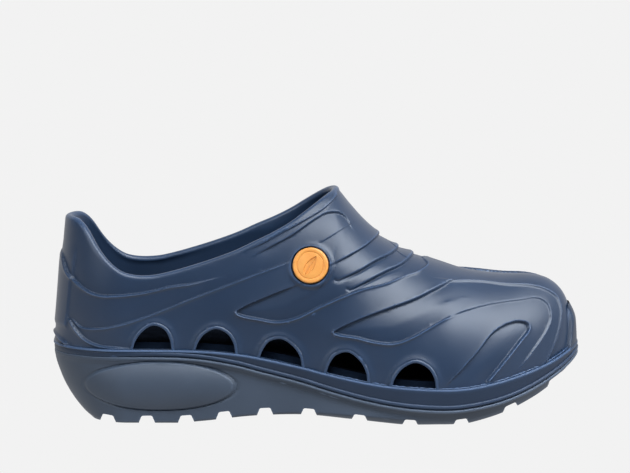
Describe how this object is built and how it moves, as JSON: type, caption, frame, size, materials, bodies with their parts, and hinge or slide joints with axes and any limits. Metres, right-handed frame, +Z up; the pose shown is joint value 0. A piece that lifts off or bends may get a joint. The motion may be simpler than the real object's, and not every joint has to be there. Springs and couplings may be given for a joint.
{
  "type": "garden clog",
  "caption": "Closed-back moulded foam garden clog for the right foot, with arched side vents, a cleated wedge sole, a lift-out insole and a round snap-in button on each side.",
  "frame": {"origin": "on the ground under the middle of the clog's length and width", "axes": "+X towards the toe, +Z up, +Y towards the inner (medial) side of the foot"},
  "size_m": [0.29, 0.108, 0.1261],
  "materials": {
    "upper_eva": "satin moulded foam",
    "midsole_eva": "satin moulded foam",
    "outsole_eva": "satin moulded foam, slightly scuffed on the tread",
    "insole_foam": "matte foam",
    "insole_cloth": "matte woven cloth",
    "button_plastic": "satin",
    "washer_plastic": "matte"
  },
  "bodies": {
    "clog": {"upper": "upper_eva", "midsole": "midsole_eva", "outsole": "outsole_eva"},
    "insole": {"insole_foam": "insole_foam", "insole_cloth": "insole_cloth"},
    "lateral_button": {"lateral_button": "button_plastic", "lateral_button_washer": "washer_plastic"},
    "medial_button": {"medial_button": "button_plastic", "medial_button_washer": "washer_plastic"}
  },
  "joints": [
    {"name": "insole_lift", "type": "hinge", "parent": "clog", "child": "insole", "pos_m": [0.1352, 0, 0.0267], "axis": [0, 1, 0], "range_deg": [0, 8]},
    {"name": "lateral_button_spin", "type": "hinge", "parent": "clog", "child": "lateral_button", "pos_m": [-0.00272, -0.03598, 0.08663], "axis": [-0.153, -0.9661, 0.2079], "continuous": true},
    {"name": "medial_button_spin", "type": "hinge", "parent": "clog", "child": "medial_button", "pos_m": [-0.00272, 0.03144, 0.08663], "axis": [-0.153, 0.9661, 0.2079], "continuous": true}
  ]
}
